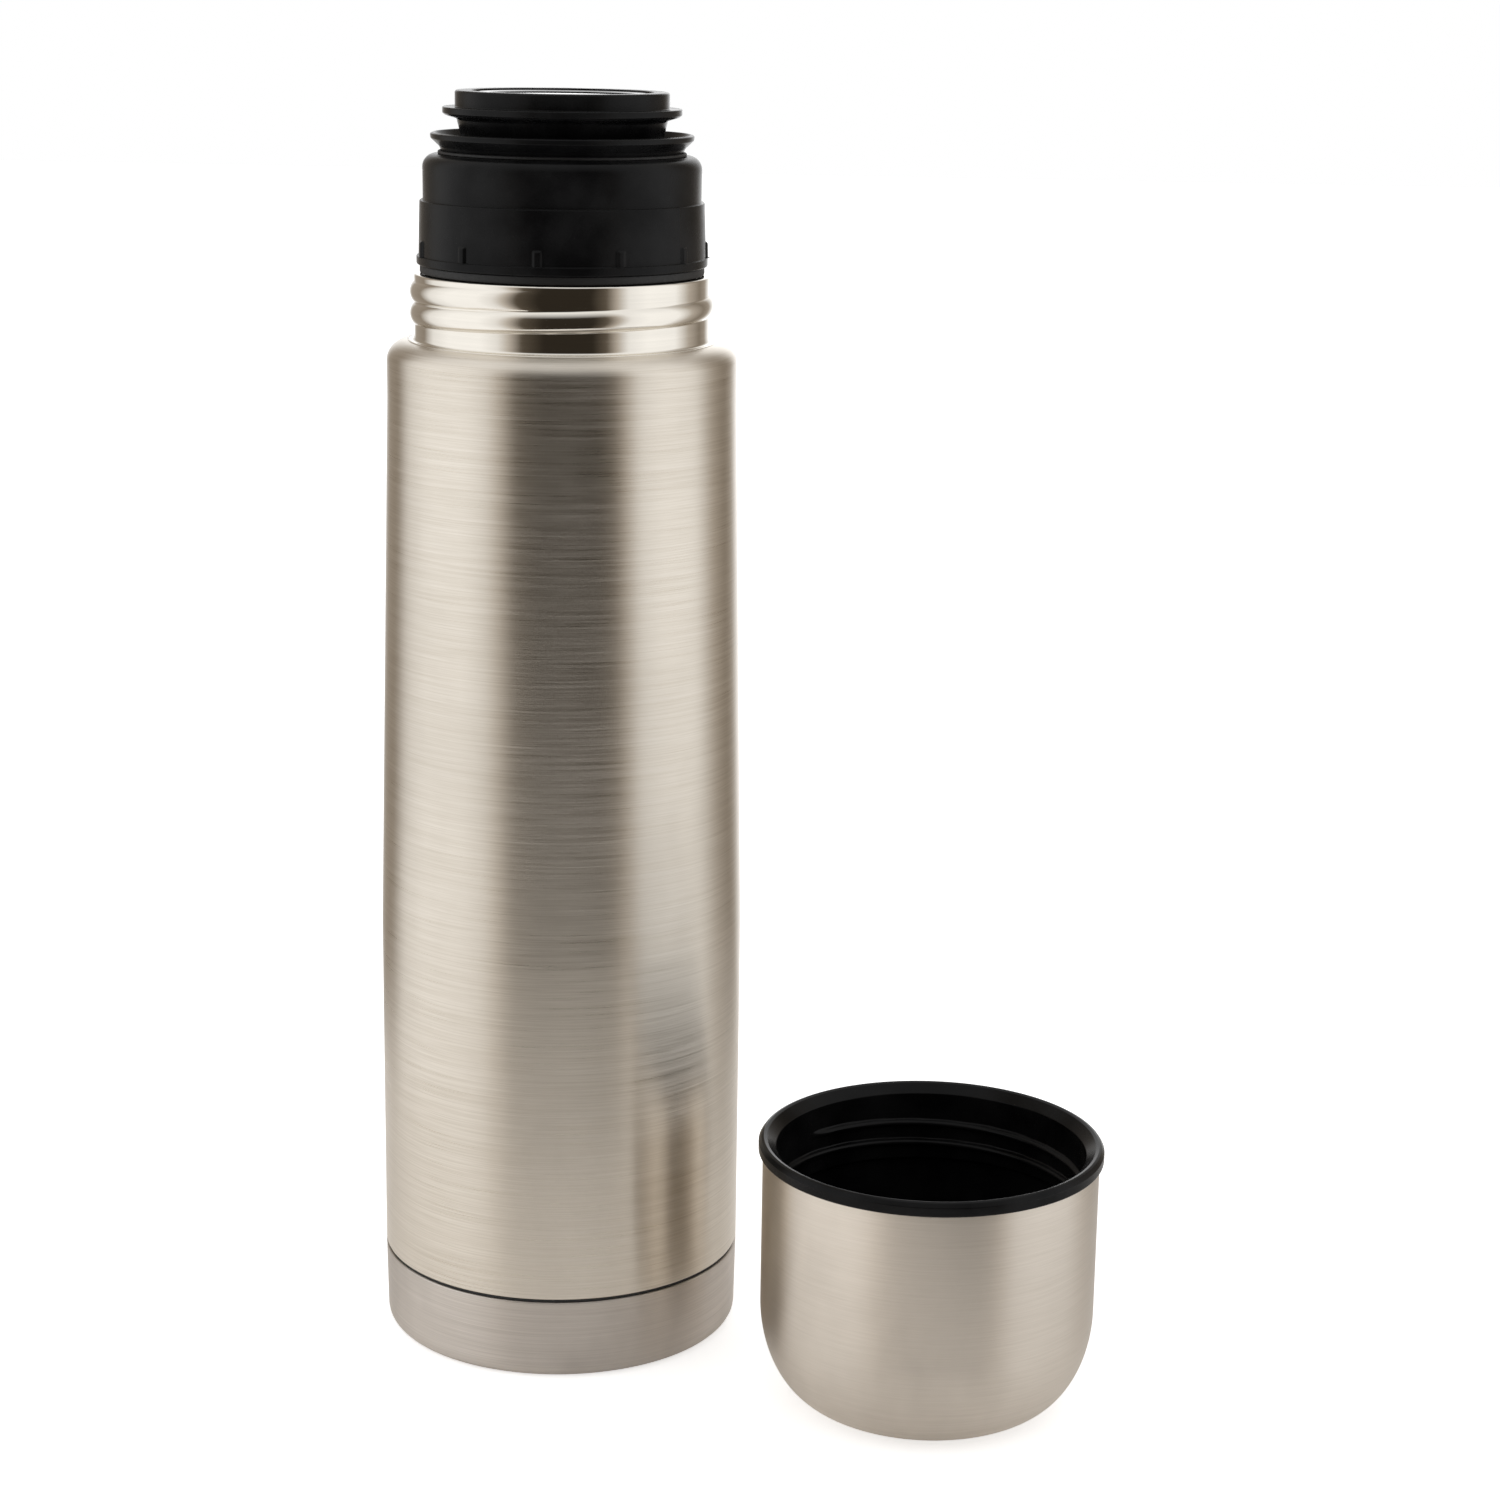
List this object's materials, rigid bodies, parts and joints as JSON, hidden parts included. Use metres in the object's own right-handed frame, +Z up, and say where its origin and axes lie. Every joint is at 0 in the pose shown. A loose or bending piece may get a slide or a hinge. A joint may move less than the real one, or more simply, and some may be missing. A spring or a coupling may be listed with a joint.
{
  "type": "vacuum flask",
  "caption": "Double-walled steel vacuum flask with a tapered brushed body, a screw-in push-button pouring stopper and a steel drinking cup standing beside it.",
  "frame": {"origin": "centre of the flask's flat foot", "axes": "+Z up along the flask's axis, +X towards the standing cup, -Y towards the viewer"},
  "size_m": [0.1405, 0.1006, 0.2405],
  "materials": {
    "body_steel": "fine brushing round the body, polished neck",
    "base_steel": "duller brushing",
    "cup_steel": "satin brushing",
    "inner_steel": "bright drawn steel",
    "bright_steel": "bright",
    "copper_foil": "thin bright foil",
    "solder_glass": "glassy bead",
    "getter_metal": "sintered",
    "black_plastic": "semi-gloss moulded",
    "liner_plastic": "gloss moulded",
    "gloss_disc": "high gloss",
    "black_rubber": "matt",
    "silicone": "matt translucent grey"
  },
  "bodies": {
    "flask": {"outer_shell": "body_steel", "inner_vessel": "inner_steel", "inner_bottom": "inner_steel", "outer_bottom": "inner_steel", "sealing_bead": "solder_glass", "getter": "getter_metal", "getter_clip": "bright_steel", "foil_wrap": "copper_foil", "base_cup": "base_steel", "base_seam_ring": "black_rubber"},
    "gasket": {"neck_gasket": "silicone"},
    "stopper": {"stopper_housing": "black_plastic", "stopper_plug": "black_plastic", "pour_lip": "black_plastic", "lip_ring": "black_rubber", "rim_seal": "black_rubber", "spring_washer": "bright_steel", "latch_ring": "bright_steel", "return_spring": "bright_steel"},
    "button": {"push_button": "black_plastic", "button_insert": "gloss_disc", "valve_stem": "bright_steel", "valve_disc": "black_plastic", "valve_seal": "silicone", "stem_clip": "bright_steel"},
    "cup": {"cup_shell": "cup_steel", "cup_liner": "liner_plastic"}
  },
  "joints": [
    {"name": "stopper_lift", "type": "slide", "parent": "flask", "child": "gasket", "axis": [0, 0, 1], "range_m": [0, 0.00599]},
    {"name": "stopper_turn", "type": "hinge", "parent": "gasket", "child": "stopper", "pos_m": [0, 0, 0.2], "axis": [0, 0, 1], "range_deg": [0, 540]},
    {"name": "button_press", "type": "slide", "parent": "stopper", "child": "button", "axis": [0, 0, -1], "range_m": [0, 0.004], "stiffness_N_per_m": 700, "springref_m": -0.003, "deforming": ["return_spring"]},
    {"name": "cup_lift", "type": "slide", "parent": "flask", "child": "cup", "axis": [0, 0, 1], "range_m": [0, 0.12]}
  ],
  "couplings": [
    {"joint": "stopper_turn", "follows": "stopper_lift", "rad_per_m": 1570.8}
  ]
}
